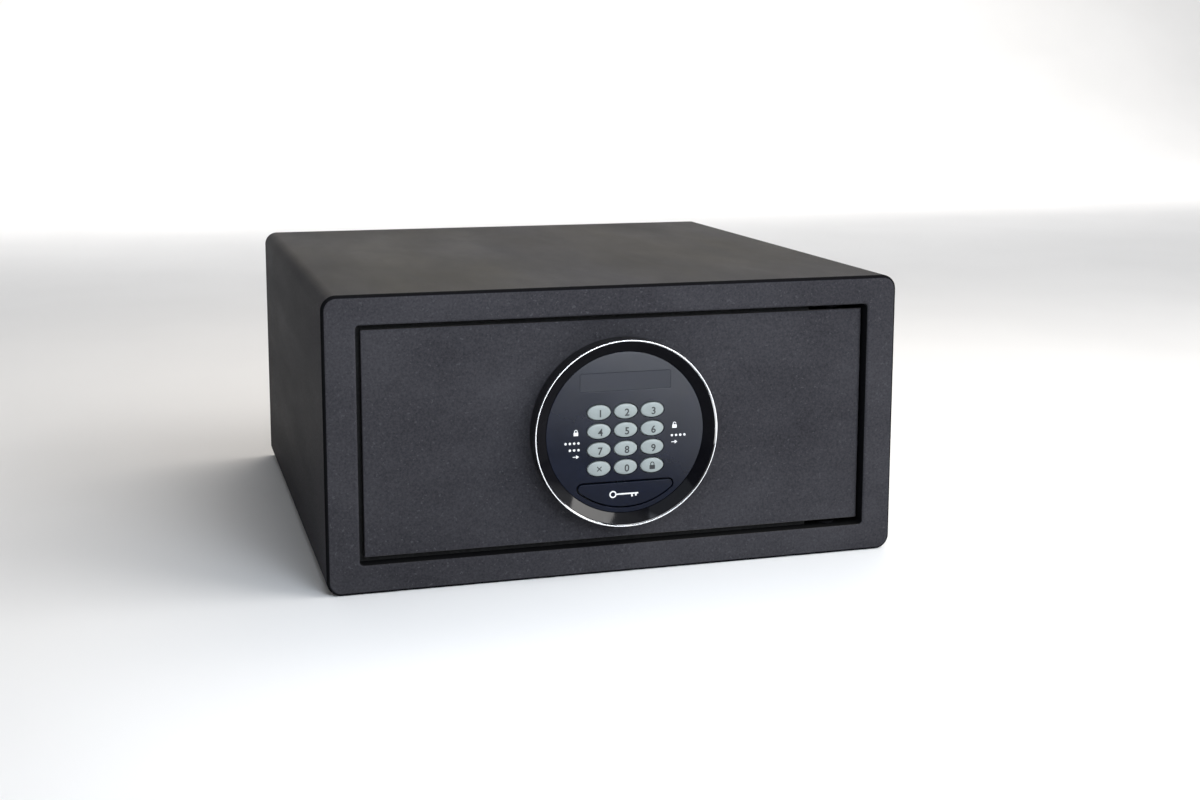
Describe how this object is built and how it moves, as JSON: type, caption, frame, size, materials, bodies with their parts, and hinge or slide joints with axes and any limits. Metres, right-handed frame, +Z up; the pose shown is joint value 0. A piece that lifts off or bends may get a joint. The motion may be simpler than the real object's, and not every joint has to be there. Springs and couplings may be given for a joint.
{
  "type": "in-room safe",
  "caption": "Black steel hotel-room safe with a flush hinged door, a round keypad with press keys, motor-driven locking bolts and a key override.",
  "frame": {"origin": "centre of the housing's underside", "axes": "+Z up, -Y out of the door towards the user, +X to the user's right, where the door hinges are"},
  "size_m": [0.405, 0.4213, 0.2],
  "materials": {
    "powder_coat": "fine satin black powder coat on sheet steel",
    "inner_coat": "matt black coat on the inner cover",
    "carpet": "short needled felt",
    "black_plastic": "fine-grained black ABS",
    "gloss_black": "piano black",
    "smoked_window": "smoked, glossy, nearly opaque",
    "chrome": "bright plated",
    "key_plastic": "satin pale grey-green",
    "key_rubber": "moulded silicone",
    "zinc_steel": "zinc plated",
    "brass": "machined",
    "circuit_board": "green solder resist on glass-epoxy board",
    "cell_sleeve": "printed sleeve without lettering"
  },
  "bodies": {
    "housing": {"body_wrap": "powder_coat", "rear_panel": "powder_coat", "front_frame": "powder_coat", "floor_mat": "carpet", "rear_plug_left": "black_plastic", "rear_plug_right": "black_plastic", "floor_plug_left": "black_plastic", "floor_plug_right": "black_plastic", "hinge_bush_upper": "black_plastic", "hinge_bush_lower": "black_plastic"},
    "door": {"door_plate": "powder_coat", "hinge_lug_upper": "zinc_steel", "hinge_lug_lower": "zinc_steel", "hinge_pin_upper": "inner_coat", "hinge_pin_lower": "inner_coat", "door_cover": "inner_coat", "cover_screw_1": "zinc_steel", "cover_screw_2": "zinc_steel", "cover_screw_3": "zinc_steel", "cover_screw_4": "zinc_steel", "keypad_screw_1": "zinc_steel", "keypad_screw_2": "zinc_steel", "lock_chassis": "zinc_steel", "gear_motor": "black_plastic", "control_board": "circuit_board", "override_lock_body": "zinc_steel", "override_lock_nut": "zinc_steel", "battery_tray": "black_plastic", "battery_cell_1": "cell_sleeve", "battery_cell_2": "cell_sleeve", "battery_cell_3": "cell_sleeve", "battery_cell_4": "cell_sleeve", "keypad_housing": "black_plastic", "chrome_ring": "chrome", "keypad_bezel": "gloss_black", "faceplate": "gloss_black", "display_window": "smoked_window", "display_module": "black_plastic", "keypad_board": "circuit_board", "key_mat": "key_rubber"},
    "bolt_carrier": {"bolt_carrier": "zinc_steel", "locking_bolt_lower": "zinc_steel", "locking_bolt_upper": "zinc_steel"},
    "lock_pinion": {"lock_pinion": "brass"},
    "override_lock_plug": {"override_lock_plug": "brass"},
    "override_cap": {"override_cap": "gloss_black"},
    "battery_lid": {"battery_lid": "black_plastic"},
    "key_1": {"key_1": "key_plastic"},
    "key_2": {"key_2": "key_plastic"},
    "key_3": {"key_3": "key_plastic"},
    "key_4": {"key_4": "key_plastic"},
    "key_5": {"key_5": "key_plastic"},
    "key_6": {"key_6": "key_plastic"},
    "key_7": {"key_7": "key_plastic"},
    "key_8": {"key_8": "key_plastic"},
    "key_9": {"key_9": "key_plastic"},
    "key_clear": {"key_clear": "key_plastic"},
    "key_0": {"key_0": "key_plastic"},
    "key_lock": {"key_lock": "key_plastic"}
  },
  "joints": [
    {"name": "door_hinge", "type": "hinge", "parent": "housing", "child": "door", "pos_m": [0.157, -0.191, 0.1], "axis": [0, 0, 1], "range_deg": [0, 105]},
    {"name": "bolt_slide", "type": "slide", "parent": "door", "child": "bolt_carrier", "axis": [-1, 0, 0], "range_m": [0, 0.018]},
    {"name": "pinion_spin", "type": "hinge", "parent": "door", "child": "lock_pinion", "pos_m": [-0.094, -0.178, 0.113], "axis": [0, 1, 0], "range_deg": [0, 116]},
    {"name": "override_lock_turn", "type": "hinge", "parent": "door", "child": "override_lock_plug", "pos_m": [0, -0.19, 0.057], "axis": [0, 1, 0], "range_deg": [0, 90]},
    {"name": "override_cap_pull", "type": "slide", "parent": "door", "child": "override_cap", "axis": [0, -1, 0], "range_m": [0, 0.03]},
    {"name": "battery_lid_slide", "type": "slide", "parent": "door", "child": "battery_lid", "axis": [-1, 0, 0], "range_m": [0, 0.066]},
    {"name": "key_1_press", "type": "slide", "parent": "door", "child": "key_1", "axis": [0, 1, 0], "range_m": [0, 0.001], "stiffness_N_per_m": 600},
    {"name": "key_2_press", "type": "slide", "parent": "door", "child": "key_2", "axis": [0, 1, 0], "range_m": [0, 0.001], "stiffness_N_per_m": 600},
    {"name": "key_3_press", "type": "slide", "parent": "door", "child": "key_3", "axis": [0, 1, 0], "range_m": [0, 0.001], "stiffness_N_per_m": 600},
    {"name": "key_4_press", "type": "slide", "parent": "door", "child": "key_4", "axis": [0, 1, 0], "range_m": [0, 0.001], "stiffness_N_per_m": 600},
    {"name": "key_5_press", "type": "slide", "parent": "door", "child": "key_5", "axis": [0, 1, 0], "range_m": [0, 0.001], "stiffness_N_per_m": 600},
    {"name": "key_6_press", "type": "slide", "parent": "door", "child": "key_6", "axis": [0, 1, 0], "range_m": [0, 0.001], "stiffness_N_per_m": 600},
    {"name": "key_7_press", "type": "slide", "parent": "door", "child": "key_7", "axis": [0, 1, 0], "range_m": [0, 0.001], "stiffness_N_per_m": 600},
    {"name": "key_8_press", "type": "slide", "parent": "door", "child": "key_8", "axis": [0, 1, 0], "range_m": [0, 0.001], "stiffness_N_per_m": 600},
    {"name": "key_9_press", "type": "slide", "parent": "door", "child": "key_9", "axis": [0, 1, 0], "range_m": [0, 0.001], "stiffness_N_per_m": 600},
    {"name": "key_clear_press", "type": "slide", "parent": "door", "child": "key_clear", "axis": [0, 1, 0], "range_m": [0, 0.001], "stiffness_N_per_m": 600},
    {"name": "key_0_press", "type": "slide", "parent": "door", "child": "key_0", "axis": [0, 1, 0], "range_m": [0, 0.001], "stiffness_N_per_m": 600},
    {"name": "key_lock_press", "type": "slide", "parent": "door", "child": "key_lock", "axis": [0, 1, 0], "range_m": [0, 0.001], "stiffness_N_per_m": 600}
  ],
  "couplings": [
    {"joint": "pinion_spin", "follows": "bolt_slide", "rad_per_m": 111.11}
  ]
}
